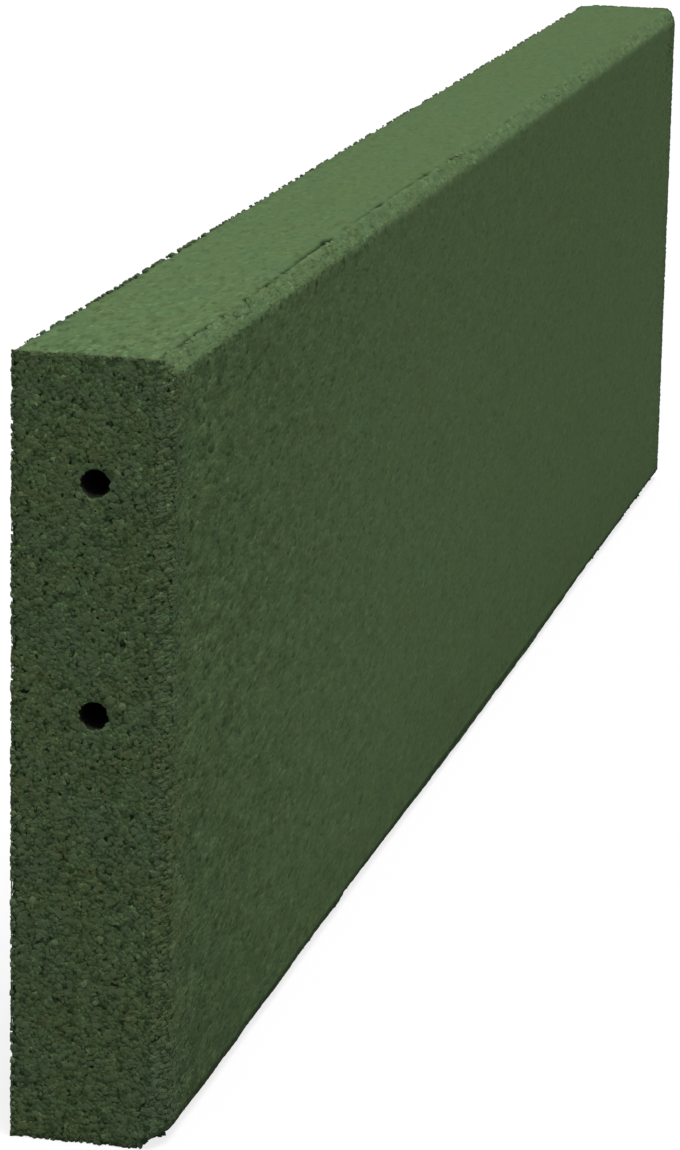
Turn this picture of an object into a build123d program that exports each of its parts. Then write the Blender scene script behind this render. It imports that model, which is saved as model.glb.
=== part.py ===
"""Rubber edging strip: one upright block of pressed rubber granules, with dowel holes in its ends.

Frame, in millimetres: X runs along the strip, Y across it with the show face at -Y, and Z is up.
The origin is on the ground, under the middle of the block.
"""
import os

from build123d import *

# Block
LENGTH = 1000.0
HEIGHT = 250.0
THICKNESS = 50.0

# Moulded arris round the show face: a bevel that is crisp towards the block and blends into the face
BEVEL_ACROSS = 4.0  # width of the bevel, across the thickness
BEVEL_DOWN = 6.5  # depth of the bevel, along the show face
BLEND_RADIUS = 8.0  # rounding where the bevel runs into the show face

# Dowel holes in each end
HOLE_DIAMETER = 9.0
HOLE_DEPTH = 40.0
HOLE_BEHIND_FACE = 24.0  # hole centres, behind the show face that has to line up with the next strip's
TOP_HOLE_DROP = 39.0  # centre of the upper hole, below the top
HOLE_SPACING = 72.5  # from the upper hole's centre to the lower one's

show_face_y = -THICKNESS / 2
hole_y = show_face_y + HOLE_BEHIND_FACE
upper_hole_height = HEIGHT - TOP_HOLE_DROP
lower_hole_height = upper_hole_height - HOLE_SPACING


def hole_plane(side):
    """One end's plane, facing out of the block, with its origin on the ground under the holes."""
    return Plane(origin=(side * LENGTH / 2, hole_y, 0), x_dir=(0, side, 0), z_dir=(side, 0, 0))


with BuildPart() as edging_strip:
    # The plain section of the block, standing on its long narrow edge
    with BuildSketch(Plane.YZ):
        Rectangle(THICKNESS, HEIGHT, align=(Align.CENTER, Align.MIN))
    extrude(amount=LENGTH / 2, both=True)

    # The mould's rim leaves one arris on all four sides of the show face
    show_face = edging_strip.faces().sort_by(Axis.Y)[0]
    chamfer(show_face.edges(), length=BEVEL_DOWN, length2=BEVEL_ACROSS, reference=show_face)
    show_face = edging_strip.faces().sort_by(Axis.Y)[0]
    fillet(show_face.edges(), radius=BLEND_RADIUS)

    # Two blind holes in each end take the dowels that line up neighbouring strips
    for side in (-1, 1):
        with Locations(hole_plane(side)):
            with Locations((0, upper_hole_height), (0, lower_hole_height)):
                Hole(radius=HOLE_DIAMETER / 2, depth=HOLE_DEPTH)

edging_strip.part.label = "edging_strip"

os.makedirs("parts", exist_ok=True)
export_step(edging_strip.part, "parts/edging_strip.step")
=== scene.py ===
"""The looks of a rubber edging strip: green rubber granules pressed into one upright block.

Meshes are worked out in millimetres and written in metres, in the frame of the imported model:
X along the strip, -Y out of the show face, Z up, and the ground at Z 0.
"""
import math

import bpy
import numpy as np
from mathutils import Matrix, Vector, noise


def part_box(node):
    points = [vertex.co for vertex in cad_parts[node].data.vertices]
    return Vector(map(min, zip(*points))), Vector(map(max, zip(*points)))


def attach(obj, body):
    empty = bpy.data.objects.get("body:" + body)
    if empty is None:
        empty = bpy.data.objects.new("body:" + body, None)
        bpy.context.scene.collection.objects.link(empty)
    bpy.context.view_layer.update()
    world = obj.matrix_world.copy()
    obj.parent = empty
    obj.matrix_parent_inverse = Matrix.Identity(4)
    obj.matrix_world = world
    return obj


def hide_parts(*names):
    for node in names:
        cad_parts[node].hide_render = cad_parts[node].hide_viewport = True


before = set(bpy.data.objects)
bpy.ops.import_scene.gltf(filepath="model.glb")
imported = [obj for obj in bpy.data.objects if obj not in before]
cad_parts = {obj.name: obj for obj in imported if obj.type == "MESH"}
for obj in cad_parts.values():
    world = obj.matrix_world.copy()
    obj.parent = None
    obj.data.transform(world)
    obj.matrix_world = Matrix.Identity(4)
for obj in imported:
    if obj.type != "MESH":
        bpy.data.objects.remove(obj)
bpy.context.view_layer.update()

# The pressed block. The real piece is one block of green rubber granules and binder, pressed in a
# steel mould: the mould leaves smooth skins on the show face and the top, a bevel round the show
# face with an open crease along it, and a rougher grain on the back, the underside and the ends.
MM = 0.001
block_low, block_high = (np.array(corner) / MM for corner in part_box("edging_strip"))
BEVEL_ACROSS, BEVEL_DOWN = 4.0, 5.8
EDGE_SHARPNESS = 3.0  # per millimetre: higher is a tighter rounding where two faces meet

bevel_length = math.hypot(BEVEL_DOWN, BEVEL_ACROSS)
bevel_fore, bevel_up = BEVEL_DOWN / bevel_length, BEVEL_ACROSS / bevel_length
show_y, back_y = block_low[1], block_high[1]
end_x, top_z = block_high[0], block_high[2]
# Each side of the block: outward normal, a point on it, how far its skin lies inside the plain
# block, the height of its relief, and how open its grain is, from 0 (closed skin) to 1
block_sides = [
    ((0, 0, 1), (0, 0, top_z), 0.12, 0.14, 0.03),
    ((0, 0, -1), (0, 0, 0), 0.15, 0.20, 0.55),
    ((0, -1, 0), (0, show_y, 0), 0.15, 0.12, 0.05),
    ((0, 1, 0), (0, back_y, 0), 0.15, 0.30, 0.46),
    ((1, 0, 0), (end_x, 0, 0), 0.65, 0.30, 0.48),
    ((-1, 0, 0), (-end_x, 0, 0), 0.65, 0.30, 0.48),
    ((0, -bevel_fore, bevel_up), (0, show_y + BEVEL_ACROSS, top_z), 0.05, 0.22, 0.14),
    ((0, -bevel_fore, -bevel_up), (0, show_y + BEVEL_ACROSS, 0), 0.05, 0.25, 0.55),
    ((bevel_up, -bevel_fore, 0), (end_x, show_y + BEVEL_ACROSS, 0), 0.30, 0.30, 0.60),
    ((-bevel_up, -bevel_fore, 0), (-end_x, show_y + BEVEL_ACROSS, 0), 0.30, 0.30, 0.60),
    ((0.58, 0.56, 0.59), (end_x, back_y, top_z), 4.0, 0.30, 0.35),  # three corners that are worn off
    ((0.35, -0.55, 0.76), (end_x, show_y, top_z), 3.7, 0.25, 0.25),
    ((-0.22, -0.68, -0.70), (-end_x, show_y + 3, 3), 2.2, 0.40, 0.70),
]
TOP, SHOW_FACE, UPPER_BEVEL, LOWER_BEVEL = 0, 2, 6, 7
side_normals = np.array([side[0] for side in block_sides], float)
side_offsets = np.array([np.dot(side[0], side[1]) - side[2] for side in block_sides])
side_relief = np.array([side[3] for side in block_sides])
side_openness = np.array([side[4] for side in block_sides])


def block_surface(points):
    """Depth of points above the block's rounded skin, and the share that each side has in them."""
    heights = points @ side_normals.T - side_offsets
    highest = heights.max(axis=1, keepdims=True)
    weights = np.exp(EDGE_SHARPNESS * (heights - highest))
    total = weights.sum(axis=1, keepdims=True)
    return highest[:, 0] + np.log(total[:, 0]) / EDGE_SHARPNESS, weights / total


def seat_on_block(points):
    """Moves points onto the block's skin; also gives the outward normals and the sides' shares."""
    points = points.copy()
    for _ in range(12):
        depth, shares = block_surface(points)
        slope = shares @ side_normals
        points -= depth[:, None] * slope / (slope ** 2).sum(axis=1, keepdims=True)
    return points, slope / np.linalg.norm(slope, axis=1, keepdims=True), shares


def graded_lines(low, high, step_at):
    """Grid lines from low to high, where step_at(distance from low) gives the wanted spacing."""
    lines = [0.0]
    while lines[-1] < high - low:
        lines.append(lines[-1] + step_at(lines[-1]))
    return low + np.array(lines) * (high - low) / lines[-1]


def closed_grid(xs, ys, zs):
    """Points and quads of a closed box whose six sides share the given grid lines."""
    counts = (len(xs), len(ys), len(zs))
    quads = []
    for axis in range(3):
        a, b = (axis + 1) % 3, (axis + 2) % 3
        u, v = np.meshgrid(np.arange(counts[a] - 1), np.arange(counts[b] - 1), indexing="ij")
        for side in (0, counts[axis] - 1):
            corners = np.zeros((u.size, 4, 3), int)
            corners[:, :, axis] = side
            for corner, (du, dv) in enumerate(((0, 0), (1, 0), (1, 1), (0, 1))):
                corners[:, corner, a] = u.ravel() + du
                corners[:, corner, b] = v.ravel() + dv
            quads.append(corners if side else corners[:, ::-1])
    triples, index = np.unique(np.concatenate(quads).reshape(-1, 3), axis=0, return_inverse=True)
    points = np.stack([xs[triples[:, 0]], ys[triples[:, 1]], zs[triples[:, 2]]], axis=1)
    return points, index.reshape(-1, 4)


def new_piece(name, points, faces, material):
    """A mesh object from points in millimetres."""
    mesh = bpy.data.meshes.new(name)
    mesh.from_pydata((points * MM).tolist(), [], faces.tolist())
    mesh.validate()
    mesh.materials.append(material)
    piece = bpy.data.objects.new(name, mesh)
    bpy.context.scene.collection.objects.link(piece)
    return piece


def store(piece, name, values):
    """Keeps one number per point on the piece, for its material to read."""
    numbers = piece.data.attributes.new(name, "FLOAT", "POINT")
    numbers.data.foreach_set("value", values.astype(np.float32))


# Where granules broke out of the crease: distance from the near end, half length and depth
CREASE_NICKS = [(27, 3.0, 0.6), (45, 4.0, 1.1), (58, 4.0, 0.9), (107, 2.6, 1.5), (224, 6.0, 1.7),
                (308, 7.0, 0.7), (388, 3.5, 0.9), (433, 6.0, 0.7), (548, 5.0, 0.6), (634, 6.0, 0.7)]

# The grid is finest at the near end, under the crease and along the frayed back edge
along = graded_lines(-end_x, end_x, lambda s: float(np.interp(
    s, [0, 6, 30, 260, 480, 960, 990, 1000], [0.7, 1.3, 1.7, 1.9, 4.0, 4.0, 1.5, 0.8])))
across = graded_lines(show_y, back_y, lambda s: float(np.interp(
    s, [0, 2.4, 3.2, 6.0, 8, 14, 44, 48, 50], [0.9, 0.6, 0.38, 0.38, 1.3, 2.4, 2.4, 0.8, 0.5])))
upward = graded_lines(0, top_z, lambda s: float(np.interp(
    s, [0, 8, 16, 30, 220, 236, 242, 250], [0.8, 1.2, 2.0, 4.6, 4.6, 2.0, 1.0, 0.7])))
block_points, block_quads = closed_grid(along, across, upward)
block_points, outward, shares = seat_on_block(block_points)


def noise_at(points, size):
    """Smooth noise from -1 to 1 at each point, in lumps of about the given size."""
    return np.array([noise.noise(Vector(point) / size) for point in points])


# Granules stand out a little in every skin, and the whole block is never quite flat
LUMP = 2.3
WARP, WARP_LENGTH = 0.12, 38.0
cells = np.array([noise.voronoi(Vector(point) / LUMP)[0][0] for point in block_points])
rise = (0.45 - cells) * 1.6 * (shares @ side_relief) + WARP * noise_at(block_points, WARP_LENGTH)

# The crease runs along the top of the bevel, where two skins met in the mould. It wanders, and it
# is widest near one end.
from_near_end = block_points[:, 0] + end_x
along_only = block_points * (1, 0, 0)
behind_face = np.interp(from_near_end, [0, 110, 200, 340, 430, 560, 700],
                        [4.1, 4.1, 5.8, 5.8, 4.3, 3.3, 4.2])
crease_y = show_y + behind_face + 0.4 * noise_at(along_only, 13.0)
crease_y += 0.25 * noise_at(along_only + 7, 5.0)
from_crease = np.hypot(block_points[:, 1] - crease_y, block_points[:, 2] - top_z)
opening = np.interp(from_near_end, [0, 60, 95, 125, 140, 205, 235, 300, 380, 1000],
                    [0.32, 0.40, 0.22, 0.26, 0.42, 0.38, 0.30, 0.28, 0.2, 0.12])
opening *= 1 + 1.6 * noise_at(along_only + 31, 7.0) + 0.9 * noise_at(along_only + 5, 2.3)
for place, half_length, depth in CREASE_NICKS:
    opening = np.maximum(opening, depth * np.exp(-((from_near_end - place) / half_length) ** 2))
opening = np.clip(opening, 0, None)
crease_half_width = 0.65 + 0.4 * opening
crease = opening * np.exp(-(from_crease / crease_half_width) ** 2)
rise -= crease

# The bevel along the ground is fuller than the upper one, most of all in the middle
fuller = np.interp(from_near_end, [0, 20, 60, 230, 244, 252, 290, 480, 620, 760, 1000],
                   [0.2, 0.6, 0.8, 0.4, 0.9, 0.0, 0.3, 1.3, 1.3, 0.4, 0.1])
fuller += 0.3 * noise_at(along_only + 17, 11.0)
rise += fuller * shares[:, LOWER_BEVEL]

# The back has no bevel, so its edges have lost granules, most of all along the top near one end
from_end = end_x - np.abs(block_points[:, 0])
from_back_top = np.hypot(back_y - block_points[:, 1], top_z - block_points[:, 2])
from_back_upright = np.hypot(block_points[:, 1] - back_y, from_end)
FRAYED_WIDTH = 1.7
fraying = np.interp(from_near_end, [0, 85, 100, 205, 225, 1000], [0.45, 0.55, 1.7, 1.5, 0.55, 0.3])
fraying *= np.exp(-(from_back_top / FRAYED_WIDTH) ** 2)
fraying = np.maximum(fraying, 1.3 * np.exp(-(from_back_upright / 1.6) ** 2))


def loss_at(points):
    """Where an edge has lost granules: above 0 they are gone, and below it they stand proud."""
    return 0.8 * noise_at(points * (1, 0.3, 1) + 3, 5.5) + 0.7 * noise_at(points * (1, 0.3, 1), 2.6)


bites = fraying * np.clip(0.40 + 2.2 * loss_at(block_points), 0, 1.8)
rise -= bites

block_points += rise[:, None] * outward
block_points = np.clip(block_points, block_low, block_high)


def link(tree, source, target):
    """Joins an output socket to an input socket."""
    tree.links.new(source, target)


def math_node(tree, operation, first, second=None, clamp=False):
    """One sum on one or two values, each a socket or a number; gives the result's socket."""
    node = tree.nodes.new("ShaderNodeMath")
    node.operation = operation
    node.use_clamp = clamp
    for socket, value in zip(node.inputs, (first, second)):
        if isinstance(value, bpy.types.NodeSocket):
            link(tree, value, socket)
        elif value is not None:
            socket.default_value = value
    return node.outputs[0]


def texture_node(tree, kind, scale, place, **settings):
    """A 3-D texture over the object's own coordinates, whose features are about 1/scale metres."""
    node = tree.nodes.new(kind)
    node.inputs["Scale"].default_value = scale
    for key, value in settings.items():
        if hasattr(node, key):
            setattr(node, key, value)
        else:
            node.inputs[key].default_value = value
    link(tree, place, node.inputs["Vector"])
    return node


def ramp_node(tree, value, stops):
    """A ramp through (position, colour) stops; gives the colour's socket."""
    node = tree.nodes.new("ShaderNodeValToRGB")
    elements = node.color_ramp.elements
    while len(elements) < len(stops):
        elements.new(1.0)
    for element, (position, colour) in zip(elements, stops):
        element.position = position
        element.color = (*colour, 1)
    link(tree, value, node.inputs["Fac"])
    return node.outputs["Color"]


def mix_node(tree, blend, factor, first, second):
    """Two colours blended; factor, first and second are sockets or values."""
    node = tree.nodes.new("ShaderNodeMix")
    node.data_type = "RGBA"
    node.blend_type = blend
    for socket, value in ((node.inputs[0], factor), (node.inputs[6], first), (node.inputs[7], second)):
        if isinstance(value, bpy.types.NodeSocket):
            link(tree, value, socket)
        else:
            socket.default_value = value
    return node.outputs[2]


GREEN_PIGMENT = (0.110, 0.181, 0.076)
PAINTED_SHADE_AND_DARKENING = (0.012, 0.024, 0.008, 1)  # painted shade in the crease, the bites, under the arrises and at the foot, and the darker green of the top and show face away from the near end
# Binder and painted shade in the gaps between granules, and painted shade in the pinholes
BINDER_AND_GAP_SHADE = (0.020, 0.032, 0.016, 1)
PINHOLE_SHADE = (0.030, 0.046, 0.022, 1)
NEAR_FOOT_DARK = (0.040, 0.050, 0.030, 1)
SCUFF_AND_PAINTED_LIGHT = (1.20, 1.16, 1.24, 1)
SKIN_GRAIN = 1.4 * MM
PINHOLE_SPACING = 3.1 * MM
SHRED_STRETCH = 0.42  # how far the grain's texture is squeezed along X, which draws the shreds out
RELIEF_DEPTH = 0.7 * MM
# Scales of the noise textures, in features per metre
TORN_OUTLINES, MOTTLING, DRIFTING, TORN_TEXTURE = 900.0, 300.0, 70.0, 2600.0


def stored(tree, name):
    """The socket of a number that is stored on the mesh."""
    node = tree.nodes.new("ShaderNodeAttribute")
    node.attribute_name = name
    return node.outputs["Fac"]


def scaled(tree, value, factor, added=0.0):
    """A socket's value times a factor, plus a number."""
    node = tree.nodes.new("ShaderNodeMath")
    node.operation = "MULTIPLY_ADD"
    link(tree, value, node.inputs[0])
    node.inputs[1].default_value = factor
    node.inputs[2].default_value = added
    return node.outputs[0]


def granule_rubber(name, pigment=GREEN_PIGMENT, loose=False, patches=0.3):
    """Pigmented rubber granules: a pressed skin, or loose ones that each have their own tone."""
    material = bpy.data.materials.new(name)
    material.use_nodes = True
    tree = material.node_tree
    shader = tree.nodes["Principled BSDF"]
    place = tree.nodes.new("ShaderNodeTexCoord").outputs["Object"]
    openness = stored(tree, "openness")

    # Shreds lie along the strip. Their outlines are torn, so the cells that stand for them are
    # looked up off their place.
    lengthwise = tree.nodes.new("ShaderNodeVectorMath")
    lengthwise.operation = "MULTIPLY"
    link(tree, place, lengthwise.inputs[0])
    lengthwise.inputs[1].default_value = (SHRED_STRETCH, 1.0, 1.0)
    place = lengthwise.outputs[0]
    tear = texture_node(tree, "ShaderNodeTexNoise", TORN_OUTLINES, place, Detail=2.0)
    wander = tree.nodes.new("ShaderNodeVectorMath")
    wander.operation = "MULTIPLY_ADD"
    link(tree, tear.outputs["Color"], wander.inputs[0])
    wander.inputs[1].default_value = (MM, MM, MM)
    link(tree, place, wander.inputs[2])
    wandering = wander.outputs[0]
    cells = texture_node(tree, "ShaderNodeTexVoronoi", 1 / SKIN_GRAIN, wandering)
    split = tree.nodes.new("ShaderNodeSeparateColor")
    link(tree, cells.outputs["Color"], split.inputs[0])

    # The shade of each granule: most are alike, and a few are pale or dark
    tone = stored(tree, "tone") if loose else split.outputs[0]
    shades = ramp_node(tree, tone, [(0.0, (0.05, 0.05, 0.06)), (0.08, (0.55, 0.55, 0.56)),
                                    (0.22, (0.86, 0.86, 0.86)), (0.50, (1.00, 1.00, 0.99)),
                                    (0.85, (1.12, 1.12, 1.10)), (1.0, (1.75, 1.75, 1.75))])
    contrast = 0.58 if loose else scaled(tree, openness, 1.1, 0.14)
    colour = mix_node(tree, "MULTIPLY", contrast, (*pigment, 1), shades)

    # Mottling a few millimetres wide, where clumps of granules took more or less pigment
    mottle = texture_node(tree, "ShaderNodeTexNoise", MOTTLING, place, Detail=1.5)
    mottles = ramp_node(tree, mottle.outputs["Fac"], [(0.32, (0.62, 0.64, 0.62)),
                                                      (0.5, (1.0, 1.0, 1.0)),
                                                      (0.68, (1.38, 1.36, 1.38))])
    colour = mix_node(tree, "MULTIPLY", scaled(tree, openness, 1.45, 0.03), colour, mottles)

    # Uneven pigment: granules lean to brown or to blue, and so do patches a few centimetres wide
    casts = ramp_node(tree, split.outputs[1], [(0.0, (1.12, 0.94, 0.92)), (0.35, (1.0, 1.0, 1.0)),
                                               (0.7, (1.0, 1.0, 1.0)), (1.0, (0.90, 1.02, 1.14))])
    colour = mix_node(tree, "MULTIPLY", 0.4, colour, casts)
    drift = texture_node(tree, "ShaderNodeTexNoise", DRIFTING, place, Detail=2.5)
    drifts = ramp_node(tree, drift.outputs["Fac"], [(0.32, (0.97, 1.00, 1.10)),
                                                    (0.5, (1.0, 1.0, 1.0)),
                                                    (0.68, (1.12, 0.98, 0.90))])
    colour = mix_node(tree, "MULTIPLY", patches, colour, drifts)

    # Pinholes in the skin, painted dark as painted shade, and binder and painted shadow in the gaps
    # between granules
    holes = texture_node(tree, "ShaderNodeTexVoronoi", 1 / PINHOLE_SPACING, wandering)
    hole_split = tree.nodes.new("ShaderNodeSeparateColor")
    link(tree, holes.outputs["Color"], hole_split.inputs[0])
    near_hole = math_node(tree, "SUBTRACT", 1.0, scaled(tree, holes.outputs["Distance"], 3.4), True)
    sound_share = scaled(tree, openness, -0.72, 0.90)  # of the cells, those that hold no pinhole
    has_hole = math_node(tree, "GREATER_THAN", hole_split.outputs[2], sound_share)
    pinhole = math_node(tree, "MULTIPLY", near_hole, has_hole)
    pinhole = math_node(tree, "MULTIPLY", pinhole, scaled(tree, openness, 1.4, 0.22))
    colour = mix_node(tree, "MIX", pinhole, colour, PINHOLE_SHADE)
    gaps = texture_node(tree, "ShaderNodeTexVoronoi", 1 / SKIN_GRAIN, wandering,
                        feature="DISTANCE_TO_EDGE")
    gap = math_node(tree, "SUBTRACT", 1.0, scaled(tree, gaps.outputs["Distance"], 7.0), True)
    darker = math_node(tree, "MULTIPLY", gap, scaled(tree, openness, 0.12 if loose else 0.5))
    colour = mix_node(tree, "MIX", darker, colour, BINDER_AND_GAP_SHADE)
    if not loose:
        # Painted shade in the crease, the bites, under the arrises and at the foot, and a darker green
        # away from the near end
        colour = mix_node(tree, "MIX", stored(tree, "shade_and_darkening"), colour, PAINTED_SHADE_AND_DARKENING)
        near_foot_darkening = scaled(tree, stored(tree, "near_foot_darkening"), 0.30)
        colour = mix_node(tree, "MIX", near_foot_darkening, colour, NEAR_FOOT_DARK)
        # Scuffs and painted light: the upper bevel and the top of the show face made paler
        colour = mix_node(tree, "MULTIPLY", stored(tree, "scuffs_and_painted_light"), colour, SCUFF_AND_PAINTED_LIGHT)
    link(tree, colour, shader.inputs["Base Color"])

    # Relief finer than the mesh: domed granules, pinholes, and the torn texture on each granule
    dome = scaled(tree, cells.outputs["Distance"], -0.6)
    fine = texture_node(tree, "ShaderNodeTexNoise", TORN_TEXTURE, place, Detail=3.0)
    height = math_node(tree, "ADD", dome, scaled(tree, fine.outputs["Fac"], 0.25))
    height = math_node(tree, "MULTIPLY", height, scaled(tree, openness, 1.3, 0.14))
    height = math_node(tree, "SUBTRACT", height, scaled(tree, pinhole, 0.6))
    bump = tree.nodes.new("ShaderNodeBump")
    bump.inputs["Strength"].default_value = 0.25 if loose else 0.55
    bump.inputs["Distance"].default_value = RELIEF_DEPTH
    link(tree, height, bump.inputs["Height"])
    link(tree, bump.outputs["Normal"], shader.inputs["Normal"])
    link(tree, scaled(tree, fine.outputs["Fac"], 0.16, 0.82), shader.inputs["Roughness"])
    shader.inputs["Specular IOR Level"].default_value = 0.03
    return material


block = new_piece("pressed_block", block_points, block_quads, granule_rubber("pressed_skin"))

# The grain is open round both ends, and it closes slowly along the strip away from the near end
towards_near_end = 0.45 * np.exp(-from_near_end / 170.0) * (1 - 0.45 * shares[:, TOP])
openness = shares @ side_openness + 0.22 * np.exp(-from_end / 9.0) + towards_near_end
store(block, "openness", np.clip(openness, 0, 1))

# The near end is darker towards its foot
height = block_points[:, 2]
near_foot_darkening = np.exp(-(from_near_end / 120) ** 2 - (height / 110) ** 2)
near_foot_darkening *= 0.75 + 0.5 * noise_at(block_points, 25.0)
store(block, "near_foot_darkening", near_foot_darkening)

# The upper bevel and the show face just under it are paler: scuffs, and painted light where the bevel
# faces the lamp. The show face is a little paler in the middle of its nearer half
from_arris = height - (top_z - BEVEL_DOWN)
scuffs_and_painted_light = shares[:, UPPER_BEVEL] + 0.5 * shares[:, SHOW_FACE] * np.exp(-(from_arris / 2.5) ** 2)
scuffs_and_painted_light *= 0.75 + 0.7 * noise_at(block_points * (0.4, 1, 1), 4.0)
paler_middle = np.exp(-((from_near_end - 320) / 240) ** 2 - ((height - 115) / 100) ** 2)
scuffs_and_painted_light += 0.45 * paler_middle * shares[:, SHOW_FACE]
store(block, "scuffs_and_painted_light", np.clip(scuffs_and_painted_light, 0, 1))

# Painted shade in dark specks just below the upper bevel and along the frayed back edge
shade_speck_zone = np.interp(from_near_end, [0, 50, 90, 260, 340, 1000], [0.5, 0.8, 1.0, 1.0, 0.4, 0.2])
shade_speck_zone = shade_speck_zone * shares[:, SHOW_FACE] * np.exp(-((from_arris + 1.5) / 2.6) ** 2)
shade_speck_zone = np.maximum(shade_speck_zone, np.exp(-(from_back_top / 3.2) ** 2))
shade_specks = 1.8 * (noise_at(block_points, 2.0) - 0.12) * shade_speck_zone

# Painted shade: a thin dark line along the outer arrises, a painted contact shadow at the foot, and
# the lower bevel painted darker as it lies in the block's own shade
front = shares[:, SHOW_FACE] + shares[:, LOWER_BEVEL]
lower_arris = np.exp(-((height - BEVEL_DOWN) / 1.1) ** 2) * front
from_far_end = end_x - block_points[:, 0]
far_arris = np.exp(-((from_far_end - BEVEL_DOWN) / 3.5) ** 2) * shares[:, SHOW_FACE]
far_arris += np.exp(-(from_far_end / 5.0) ** 2) * shares[:, TOP]
back_arris = 0.7 * np.exp(-(from_back_top / 1.1) ** 2)
arris_shade = np.max([0.95 * lower_arris, 0.6 * far_arris, back_arris], axis=0)
foot_shade = np.maximum(0.8 * np.exp(-height / 1.1), 0.6 * shares[:, LOWER_BEVEL])

# The top is darker away from the near end, and so is the show face; low down on the show face this is
# painted shade, where less light reaches near the ground
darkening_and_low_shade = shares[:, TOP] * np.interp(from_near_end, [30, 100, 300, 700, 1000],
                                          [0.0, 0.03, 0.10, 0.17, 0.17])
low_down = 0.10 * np.exp(-(height / 32) ** 2) + np.interp(from_near_end, [450, 800], [0.0, 0.04])
darkening_and_low_shade += shares[:, SHOW_FACE] * low_down
# Painted shade: the crease, its nicks and the bites along the back edge are painted dark, over the
# real shade of their grooves
CREASE_FULL_SHADE, BITE_FULL_SHADE = 0.65, 2.2  # depths in millimetres at which the painted shade in the crease and the bites is full
shade_and_darkening = np.max([crease / CREASE_FULL_SHADE, bites / BITE_FULL_SHADE,
                   shade_specks, foot_shade, arris_shade, darkening_and_low_shade], axis=0)
store(block, "shade_and_darkening", np.clip(shade_and_darkening, 0, 0.96))
block.data.shade_smooth()
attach(block, "root")
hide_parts("edging_strip")

# The dowel holes. In the real strip, pins in the mould leave two blind holes in each end for the
# plastic dowels that line up the next strip. Their walls are torn granules, dark with depth.
HOLE_RADIUS, HOLE_DEPTH = 4.5, 40.0
HOLE_Y = show_y + 24.0
UPPER_HOLE_Z = top_z - 39.0
HOLE_SPACING = 72.5
LOW_BACK = math.radians(-40)  # the part of each mouth that is most worn, as an angle from the back
MOUTH_DRAG = 0.7  # how far the mouths are dragged towards the show face
WIDER, LOWER = 1.03, 0.95  # the holes are a little wider than high
hole_places = [(side, z) for side in (-1, 1) for z in (UPPER_HOLE_Z, UPPER_HOLE_Z - HOLE_SPACING)]


def hole_cutter(side, z):
    """The closed plug of air in one hole, with an uneven wall."""
    turns = 56
    rings = [-2.0, 0.4, 1.2, 2.2, 3.4, 5.0, 8.0, 12.0, 20.0, 30.0, HOLE_DEPTH]
    angle = np.arange(turns) * 2 * math.pi / turns
    points = []
    for inward in rings:
        for a in angle:
            wobble = noise.noise(Vector((math.cos(a) * 1.6 + side, math.sin(a) * 1.6 + z,
                                         inward * 0.4)))
            tear = noise.noise(Vector((math.cos(a) * 5.0, math.sin(a) * 5.0 + z, inward * 0.9)))
            worn = 0.9 * max(0.0, 1 - max(inward, 0) / 3.0) * (0.5 + 0.5 * math.cos(a - LOW_BACK))
            radius = HOLE_RADIUS - 0.15 + 0.5 * wobble + 0.6 * tear + worn
            dragged = MOUTH_DRAG * max(0.0, 1 - max(inward, 0) / 8.0)
            points.append((side * (end_x - inward), HOLE_Y - dragged + WIDER * radius * math.cos(a),
                           z + LOWER * radius * math.sin(a)))
    faces = []
    for ring in range(len(rings) - 1):
        for turn in range(turns):
            a, b = ring * turns + turn, ring * turns + (turn + 1) % turns
            faces.append((a, b, b + turns, a + turns))
    faces.append(tuple(range(turns))[::-1])
    faces.append(tuple(range((len(rings) - 1) * turns, len(rings) * turns)))
    if side > 0:
        faces = [face[::-1] for face in faces]
    return points, faces


def hole_lining():
    """Torn rubber, green at the mouth and painted nearly black with depth: painted shade deep in the
    hole.
    """
    material = bpy.data.materials.new("hole_lining")
    material.use_nodes = True
    tree = material.node_tree
    shader = tree.nodes["Principled BSDF"]
    place = tree.nodes.new("ShaderNodeTexCoord").outputs["Object"]
    crumbs = texture_node(tree, "ShaderNodeTexVoronoi", 600.0, place)
    split = tree.nodes.new("ShaderNodeSeparateXYZ")
    link(tree, place, split.inputs[0])
    from_middle = math_node(tree, "ABSOLUTE", split.outputs[0])
    depth = scaled(tree, from_middle, -1 / (5 * MM), end_x / 5)
    depth = math_node(tree, "ADD", depth, scaled(tree, crumbs.outputs["Distance"], 0.3))
    colour = ramp_node(tree, depth, [(0.0, (0.050, 0.062, 0.036)), (0.35, (0.030, 0.034, 0.020)),
                                     (0.8, (0.008, 0.010, 0.007))])
    link(tree, colour, shader.inputs["Base Color"])
    bump = tree.nodes.new("ShaderNodeBump")
    bump.inputs["Distance"].default_value = 0.8 * MM
    link(tree, crumbs.outputs["Distance"], bump.inputs["Height"])
    link(tree, bump.outputs["Normal"], shader.inputs["Normal"])
    shader.inputs["Roughness"].default_value = 0.95
    shader.inputs["Specular IOR Level"].default_value = 0.1
    return material


lining = hole_lining()
for side, z in hole_places:
    cutter_points, cutter_faces = hole_cutter(side, z)
    mesh = bpy.data.meshes.new("hole_cutter")
    mesh.from_pydata([tuple(c * MM for c in point) for point in cutter_points], [], cutter_faces)
    mesh.materials.append(lining)
    cutter = bpy.data.objects.new("hole_cutter", mesh)
    bpy.context.scene.collection.objects.link(cutter)
    cut = block.modifiers.new("hole", "BOOLEAN")
    cut.object = cutter
    cut.solver = "EXACT"
    cut.material_mode = "TRANSFER"
    bpy.context.view_layer.update()
    holed = bpy.data.meshes.new_from_object(block.evaluated_get(bpy.context.evaluated_depsgraph_get()))
    block.modifiers.remove(cut)
    block.data = holed
    bpy.data.objects.remove(cutter)

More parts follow.
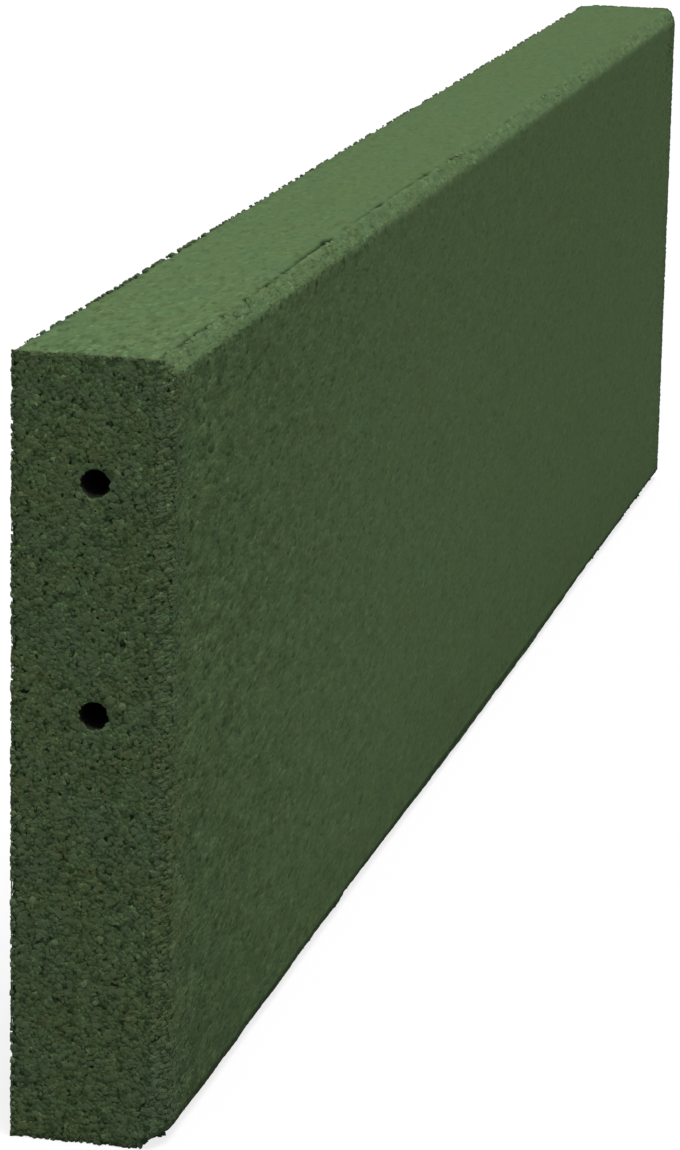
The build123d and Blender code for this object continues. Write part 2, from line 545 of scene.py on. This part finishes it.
# The open granules of the two ends. The ends are where the mould was filled or the strip was cut,
# so whole granules show there, half sunk in binder, with pits between them. They are shredded
# rubber of 1 to 3 mm, green right through, and pressed flat only by the mould's wall.
golden = (1 + math.sqrt(5)) / 2  # each granule starts as a ball of 20 triangles
CRUMB_CORNERS = np.array([(-1, golden, 0), (1, golden, 0), (-1, -golden, 0), (1, -golden, 0),
                          (0, -1, golden), (0, 1, golden), (0, -1, -golden), (0, 1, -golden),
                          (golden, 0, -1), (golden, 0, 1), (-golden, 0, -1), (-golden, 0, 1)])
CRUMB_CORNERS /= math.hypot(1, golden)
CRUMB_FACES = np.array([(0, 11, 5), (0, 5, 1), (0, 1, 7), (0, 7, 10), (0, 10, 11),
                        (1, 5, 9), (5, 11, 4), (11, 10, 2), (10, 7, 6), (7, 1, 8),
                        (3, 9, 4), (3, 4, 2), (3, 2, 6), (3, 6, 8), (3, 8, 9),
                        (4, 9, 5), (2, 4, 11), (6, 2, 10), (8, 6, 7), (9, 8, 1)])


def crumbs(name, seats, radii, flatness, sink, tones, chance, material, length=1.0):
    """Torn granules seated on the block: each one turned, stretched and dented by chance."""
    seats, normals, _ = seat_on_block(seats)
    count = len(seats)
    turn = chance.normal(size=(count, 4))
    turn /= np.linalg.norm(turn, axis=1, keepdims=True)
    w, x, y, z = turn.T
    turns = np.stack([
        np.stack([1 - 2 * (y * y + z * z), 2 * (x * y - z * w), 2 * (x * z + y * w)], axis=1),
        np.stack([2 * (x * y + z * w), 1 - 2 * (x * x + z * z), 2 * (y * z - x * w)], axis=1),
        np.stack([2 * (x * z - y * w), 2 * (y * z + x * w), 1 - 2 * (x * x + y * y)], axis=1)], axis=1)
    shapes = CRUMB_CORNERS[None] * chance.uniform(0.64, 1.28, (count, len(CRUMB_CORNERS), 1))
    shapes = shapes * chance.uniform(0.6, 1.5, (count, 1, 3))
    shapes = np.einsum("cij,cvj->cvi", turns, shapes) * radii[:, None, None] * (length, 1, 1)
    standing = np.einsum("cvi,ci->cv", shapes, normals)
    shapes -= (1 - flatness) * standing[:, :, None] * normals[:, None, :]
    points = shapes + (seats - (chance.uniform(*sink, count) * radii)[:, None] * normals)[:, None, :]
    points = np.clip(points, block_low, block_high)
    faces = CRUMB_FACES[None] + np.arange(count)[:, None, None] * len(CRUMB_CORNERS)
    piece = new_piece(name, points.reshape(-1, 3), faces.reshape(-1, 3), material)
    store(piece, "tone", np.repeat(tones, len(CRUMB_CORNERS)))
    store(piece, "openness", np.full(count * len(CRUMB_CORNERS), 0.2))
    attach(piece, "root")
    return piece


CRUMB_SPACING = 1.18
CRUMB_RADIUS = 0.66
ROW_SPACING = CRUMB_SPACING * 0.87
DULL_PIGMENT = (0.113, 0.168, 0.081)
loose_rubber = granule_rubber("open_granules", DULL_PIGMENT, loose=True, patches=0.75)


def end_seats(side, chance):
    """Places for granules over one end, in uneven rows that keep clear of the dowel holes."""
    rows = np.arange(0, top_z + CRUMB_SPACING, ROW_SPACING)
    places = np.arange(show_y, back_y + CRUMB_SPACING, CRUMB_SPACING)
    ys, zs = np.meshgrid(places, rows)
    ys = ys + (np.arange(len(rows)) % 2)[:, None] * CRUMB_SPACING / 2
    seats = np.stack([np.full(ys.size, side * end_x), ys.ravel(), zs.ravel()], axis=1)
    seats[:, 1:] += chance.uniform(-0.65, 0.65, (len(seats), 2))
    seats[:, 1] = np.clip(seats[:, 1], show_y + 0.6, back_y - 0.1)
    seats[:, 2] = np.clip(seats[:, 2], 0.1, top_z - 0.6)
    fullness = np.interp(seats[:, 1] - show_y, [0, 2.5, 5], [0.35, 0.6, 1.0])
    seats = seats[chance.uniform(0, 1, len(seats)) < fullness]
    for _, z in hole_places[:2]:
        from_hole = np.hypot(seats[:, 1] - HOLE_Y + 0.4, seats[:, 2] - z)
        seats = seats[from_hole > HOLE_RADIUS + chance.uniform(0.0, 0.7, len(seats))]
    return seats[noise_at(seats, 1.7) < 0.18]


def granule_tones(seats, low=0.0):
    """Shades from 0 to 1: most are alike, a few are bare black or pale; painted light makes them a
    little lighter up the end and towards the show face, and a painted contact shadow darkens the foot.
    """
    # Painted light: lighter towards the top and the show face, where the lamp stands
    middle = 0.50 + 0.05 * (seats[:, 2] / (top_z / 2) - 1) - 0.06 * seats[:, 1] / back_y
    tones = np.clip(chance.normal(middle, 0.15), low, 0.9)
    odd = chance.uniform(0, 1, len(seats))
    tones = np.where(odd < 0.05, 0.06, np.where(odd > 0.975, 1.0, tones))
    # Painted contact shadow: granules within about 2 mm of the ground are darkened
    return tones * np.clip(seats[:, 2] / 1.2 - 0.5, 0, 1)


for side, end_name in ((-1, "near_end_granules"), (1, "far_end_granules")):
    chance = np.random.default_rng(11 + side)
    seats = end_seats(side, chance)
    radii = np.clip(chance.lognormal(math.log(CRUMB_RADIUS), 0.30, len(seats)), 0.35, 1.3)
    crumbs(end_name, seats, radii, 0.12, (-0.08, 0.1), granule_tones(seats), chance, loose_rubber)

# The frayed back edges. The top, bottom and upright edges of the back have no bevel, so they are
# where granules stand proud or have broken away, most of all along the top near one end.
chance = np.random.default_rng(5)


def edge_seats(start, end, spacing, spread):
    """Places along one edge of the block, from start to end, scattered by spread each way."""
    start, end = np.array(start, float), np.array(end, float)
    count = int(np.linalg.norm(end - start) / spacing)
    seats = start + (end - start) * chance.uniform(0, 1, (count, 1))
    return seats + chance.uniform(-spread, spread, (count, 3))


top_fray = [edge_seats((-end_x, back_y, top_z), (end_x, back_y, top_z), 0.8, 0.6),
            edge_seats((-end_x + 30, back_y, top_z), (-end_x + 260, back_y, top_z), 0.25, 1.3)]
top_fray = np.concatenate(top_fray)
top_fray = top_fray[loss_at(top_fray) < chance.uniform(-0.14, 0.02, len(top_fray))]
radii = chance.uniform(0.4, 1.05, len(top_fray))
radii *= np.interp(top_fray[:, 0] + end_x, [80, 100, 205, 240], [0.65, 1.0, 1.0, 0.65])
# Painted shade: the granules along the top of the back edge get dark tones, as shade along that edge
crumbs("frayed_top_edge", top_fray, radii, 0.9, (-0.5, 0.4),
       chance.uniform(0.03, 0.22, len(top_fray)), chance, loose_rubber)
frayed = [edge_seats((-end_x, back_y, 0), (end_x, back_y, 0), 1.8, 0.9),
          edge_seats((-end_x, show_y + BEVEL_ACROSS, 0), (end_x, show_y + BEVEL_ACROSS, 0), 2.2, 0.9)]
for end in (-end_x, end_x):
    frayed.append(edge_seats((end, back_y - 0.3, 0), (end, back_y - 0.3, top_z), 0.7, 0.9))
    frayed.append(edge_seats((end, show_y, top_z), (end, back_y, top_z), 1.3, 0.6))
    frayed.append(edge_seats((end, show_y, 0), (end, back_y, 0), 1.0, 0.8))
frayed = np.concatenate(frayed)
frayed = frayed[loss_at(frayed) < 0.2]
crumbs("frayed_edge_granules", frayed, chance.uniform(0.4, 1.15, len(frayed)), 0.9, (-0.2, 0.4),
       granule_tones(frayed), chance, loose_rubber)

# The granules of the bevels. The mould's edge scuffs them as the strip is pressed out, so they show
# whole and paler there, most of all on the upper bevel near the near end. At the ends they thin out
# over the first centimetres of the show face, where the skin is closed again.
SCUFFED_PIGMENT = (0.122, 0.196, 0.086)
scuffed_rubber = granule_rubber("scuffed_granules", SCUFFED_PIGMENT, loose=True)
chance = np.random.default_rng(8)
scuffed_x = np.concatenate([chance.uniform(-end_x, end_x, 350), -end_x + chance.gamma(1.5, 80, 700)])
down = chance.beta(1.5, 1.1, len(scuffed_x))
scuffed = np.stack([scuffed_x, show_y + BEVEL_ACROSS * (1 - down), top_z - BEVEL_DOWN * down], axis=1)
crumbs("upper_bevel_granules", scuffed, chance.uniform(0.45, 0.95, len(scuffed)), 0.2, (-0.05, 0.25),
       np.clip(chance.normal(0.72, 0.12, len(scuffed)), 0.3, 0.97), chance, scuffed_rubber, length=3.2)

for side, bevel_name in ((-1, "near_end_bevel_granules"), (1, "far_end_bevel_granules")):
    inward = chance.gamma(1.25, 8.5, 3000)
    behind = np.maximum(0, BEVEL_ACROSS * (1 - inward / BEVEL_DOWN))
    behind += chance.uniform(0, 1.0, len(inward))
    scuffed = np.stack([side * (end_x - inward), show_y + behind,
                        chance.uniform(1, top_z - 1, len(inward))], axis=1)
    radii = chance.uniform(0.5, 1.0, len(inward)) * np.interp(inward, [0, 8, 40], [1.0, 0.85, 0.6])
    tones = granule_tones(scuffed, 0.2) * np.interp(inward, [0, 6, 14], [0.45, 0.55, 1.0])
    crumbs(bevel_name, scuffed, radii, 0.22, (-0.15, 0.2), tones, chance, loose_rubber, length=2.0)

# The floor, light and camera. They aren't part of the strip: a plain white floor, one broad soft
# lamp high over the show side, pale light from all round, and the photograph's long lens.
floor_mesh = bpy.data.meshes.new("floor")
FLOOR_HALF = 30.0
FLOOR_GLOW = 0.80
floor_mesh.from_pydata([(-FLOOR_HALF, -FLOOR_HALF, 0), (FLOOR_HALF, -FLOOR_HALF, 0),
                        (FLOOR_HALF, FLOOR_HALF, 0), (-FLOOR_HALF, FLOOR_HALF, 0)], [], [(0, 1, 2, 3)])
floor = bpy.data.objects.new("floor", floor_mesh)
bpy.context.scene.collection.objects.link(floor)


def seen_directly(tree):
    """1 for rays from the camera, or off gloss or through glass, and 0 for light on the object."""
    rays = tree.nodes.new("ShaderNodeLightPath")
    seen = math_node(tree, "MAXIMUM", rays.outputs["Is Camera Ray"], rays.outputs["Is Glossy Ray"])
    return math_node(tree, "MAXIMUM", seen, rays.outputs["Is Transmission Ray"])


floor_material = bpy.data.materials.new("white_floor")
floor_material.use_nodes = True
tree = floor_material.node_tree
tree.nodes.remove(tree.nodes["Principled BSDF"])
matt = tree.nodes.new("ShaderNodeBsdfDiffuse")
matt.inputs["Color"].default_value = (0.22, 0.22, 0.22, 1)
glow = tree.nodes.new("ShaderNodeEmission")
link(tree, math_node(tree, "MULTIPLY", seen_directly(tree), FLOOR_GLOW), glow.inputs["Strength"])
together = tree.nodes.new("ShaderNodeAddShader")
link(tree, matt.outputs[0], together.inputs[0])
link(tree, glow.outputs[0], together.inputs[1])
link(tree, together.outputs[0], tree.nodes["Material Output"].inputs["Surface"])
floor.data.materials.append(floor_material)

AROUND = 0.26
world = bpy.data.worlds.new("pale_surroundings")
bpy.context.scene.world = world
world.use_nodes = True
tree = world.node_tree
around = tree.nodes["Background"]
around.inputs["Color"].default_value = (1, 1, 1, 1)
brightness = math_node(tree, "MULTIPLY_ADD", seen_directly(tree), 1 - AROUND)
brightness.node.inputs[2].default_value = AROUND
link(tree, brightness, around.inputs["Strength"])

lamp_data = bpy.data.lights.new("overhead_softbox", "SUN")
lamp_data.energy = 2.38
lamp_data.angle = math.radians(26)
lamp = bpy.data.objects.new("overhead_softbox", lamp_data)
bpy.context.scene.collection.objects.link(lamp)
TOWARDS_LAMP = Vector((-0.15, -0.155, 0.72))
lamp.rotation_mode = "QUATERNION"
lamp.rotation_quaternion = TOWARDS_LAMP.to_track_quat("Z", "Y")

fill_data = bpy.data.lights.new("back_fill", "SUN")
fill_data.energy = 0.55
fill_data.angle = math.radians(40)
fill = bpy.data.objects.new("back_fill", fill_data)
bpy.context.scene.collection.objects.link(fill)
TOWARDS_FILL = Vector((0.6, 0.8, 0.22))
fill.rotation_mode = "QUATERNION"
fill.rotation_quaternion = TOWARDS_FILL.to_track_quat("Z", "Y")

camera_data = bpy.data.cameras.new("camera")
camera_data.sensor_width = 36.0
camera_data.lens = 131.4
camera_data.clip_start = 0.05
camera_data.clip_end = 100.0
camera = bpy.data.objects.new("camera", camera_data)
bpy.context.scene.collection.objects.link(camera)
CAMERA_PLACE = Vector((-1.6771, -0.3436, 0.4899))
TURN, DOWN, ROLL = math.radians(12.75), math.radians(14.02), math.radians(1.18)
camera.matrix_world = (Matrix.Translation(CAMERA_PLACE)
                       @ Matrix.Rotation(TURN - math.pi / 2, 4, "Z")
                       @ Matrix.Rotation(math.pi / 2 - DOWN, 4, "X")
                       @ Matrix.Rotation(ROLL, 4, "Z"))
bpy.context.scene.camera = camera

bpy.context.scene.view_settings.view_transform = "Standard"

bpy.context.view_layer.update()
